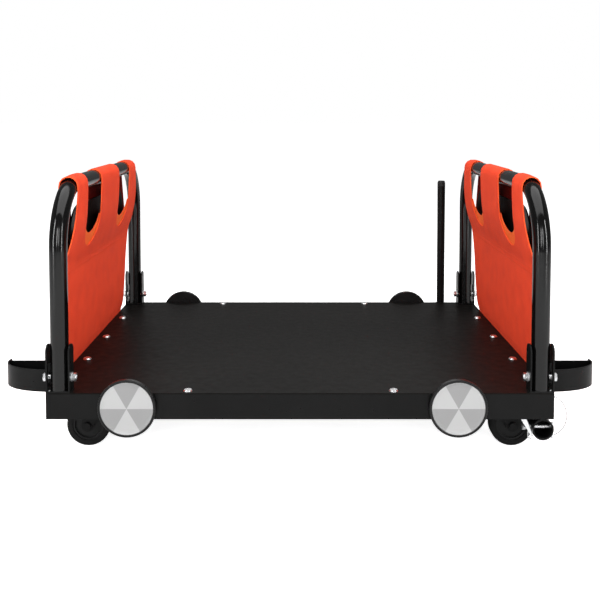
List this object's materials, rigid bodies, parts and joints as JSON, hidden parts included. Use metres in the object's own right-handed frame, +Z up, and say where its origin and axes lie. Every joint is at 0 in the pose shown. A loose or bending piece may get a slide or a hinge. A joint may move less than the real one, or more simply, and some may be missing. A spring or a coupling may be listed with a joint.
{
  "type": "firewood rack",
  "caption": "Low wheeled log rack: framed sheet deck on casters, a tube hoop with a cloth sling at each end, side discs, end cups and a pole.",
  "frame": {"origin": "on the floor, under the middle of the rack's box", "axes": "+X along the deck to the end with the drawbar receiver, +Y to the side with the pole, +Z up"},
  "size_m": [1.0868, 0.7591, 0.4997],
  "materials": {
    "frame_black": "satin black powder coat",
    "deck_black": "satin black",
    "zinc": "bright zinc plate",
    "disc_black": "moulded black",
    "disc_silver": "spun",
    "sling_orange": "woven",
    "board_black": "matt",
    "tyre_rubber": "matt",
    "core_grey": "moulded",
    "caster_black": "satin black",
    "cable_steel": "stranded wire",
    "cap_black": "moulded"
  },
  "bodies": {
    "root": {"caster_bolts": "zinc", "cross_bearers": "frame_black", "deck_screws": "zinc", "deck_sheet": "deck_black", "disc_spindles": "zinc", "frame_screws": "zinc", "front_left_caster_plate": "caster_black", "front_left_leg_bracket": "frame_black", "front_right_caster_fork": "caster_black", "front_right_leg_bracket": "frame_black", "front_side_rail": "frame_black", "hitch_pin": "zinc", "lanyard": "cable_steel", "left_cup": "frame_black", "left_end_rail": "frame_black", "left_hoop": "frame_black", "left_sling": "sling_orange", "leg_bolts": "zinc", "leg_nuts": "zinc", "leg_washers": "zinc", "pin_clip": "zinc", "pole_socket": "frame_black", "rear_left_caster_plate": "caster_black", "rear_left_leg_bracket": "frame_black", "rear_right_caster_fork": "caster_black", "rear_right_leg_bracket": "frame_black", "rear_side_rail": "frame_black", "receiver_stay": "zinc", "receiver_tube": "frame_black", "right_cup": "frame_black", "right_end_rail": "frame_black", "right_hoop": "frame_black", "right_sling": "sling_orange", "rigid_caster_axles": "caster_black", "sling_battens": "frame_black", "sling_boards": "board_black"},
    "front_left_wheel": {"front_left_wheel_core": "core_grey", "front_left_tyre": "tyre_rubber"},
    "front_left_side_disc": {"front_left_disc": "disc_black", "front_left_disc_cap": "disc_silver"},
    "front_left_swivel": {"front_left_caster_fork": "caster_black", "front_left_caster_axle": "caster_black"},
    "front_right_wheel": {"front_right_wheel_core": "core_grey", "front_right_tyre": "tyre_rubber"},
    "front_right_side_disc": {"front_right_disc": "disc_black", "front_right_disc_cap": "disc_silver"},
    "rear_left_wheel": {"rear_left_wheel_core": "core_grey", "rear_left_tyre": "tyre_rubber"},
    "rear_left_side_disc": {"rear_left_disc": "disc_black", "rear_left_disc_cap": "disc_silver"},
    "rear_left_swivel": {"rear_left_caster_fork": "caster_black", "rear_left_caster_axle": "caster_black"},
    "rear_right_wheel": {"rear_right_wheel_core": "core_grey", "rear_right_tyre": "tyre_rubber"},
    "rear_right_side_disc": {"rear_right_disc": "disc_black", "rear_right_disc_cap": "disc_silver"},
    "pole": {"pole": "frame_black", "pole_cap": "cap_black"}
  },
  "joints": [
    {"name": "front_left_swivel_turn", "type": "hinge", "parent": "root", "child": "front_left_swivel", "pos_m": [-0.365, -0.29305, 0.09], "axis": [0, 0, 1], "continuous": true},
    {"name": "front_left_wheel_spin", "type": "hinge", "parent": "front_left_swivel", "child": "front_left_wheel", "pos_m": [-0.391, -0.29305, 0.04], "axis": [0, 1, 0], "continuous": true},
    {"name": "front_left_disc_spin", "type": "hinge", "parent": "root", "child": "front_left_side_disc", "pos_m": [-0.305, -0.37455, 0.0955], "axis": [0, 1, 0], "continuous": true},
    {"name": "front_right_wheel_spin", "type": "hinge", "parent": "root", "child": "front_right_wheel", "pos_m": [0.391, -0.29305, 0.04], "axis": [0, 1, 0], "continuous": true},
    {"name": "front_right_disc_spin", "type": "hinge", "parent": "root", "child": "front_right_side_disc", "pos_m": [0.279, -0.37455, 0.0955], "axis": [0, 1, 0], "continuous": true},
    {"name": "rear_left_swivel_turn", "type": "hinge", "parent": "root", "child": "rear_left_swivel", "pos_m": [-0.365, 0.27695, 0.09], "axis": [0, 0, 1], "continuous": true},
    {"name": "rear_left_wheel_spin", "type": "hinge", "parent": "rear_left_swivel", "child": "rear_left_wheel", "pos_m": [-0.391, 0.27695, 0.04], "axis": [0, 1, 0], "continuous": true},
    {"name": "rear_left_disc_spin", "type": "hinge", "parent": "root", "child": "rear_left_side_disc", "pos_m": [-0.305, 0.35845, 0.0955], "axis": [0, 1, 0], "continuous": true},
    {"name": "rear_right_wheel_spin", "type": "hinge", "parent": "root", "child": "rear_right_wheel", "pos_m": [0.391, 0.27695, 0.04], "axis": [0, 1, 0], "continuous": true},
    {"name": "rear_right_disc_spin", "type": "hinge", "parent": "root", "child": "rear_right_side_disc", "pos_m": [0.279, 0.35845, 0.0955], "axis": [0, 1, 0], "continuous": true},
    {"name": "pole_lift", "type": "slide", "parent": "root", "child": "pole", "axis": [0, 0, 1], "range_m": [0, 0.06]}
  ]
}
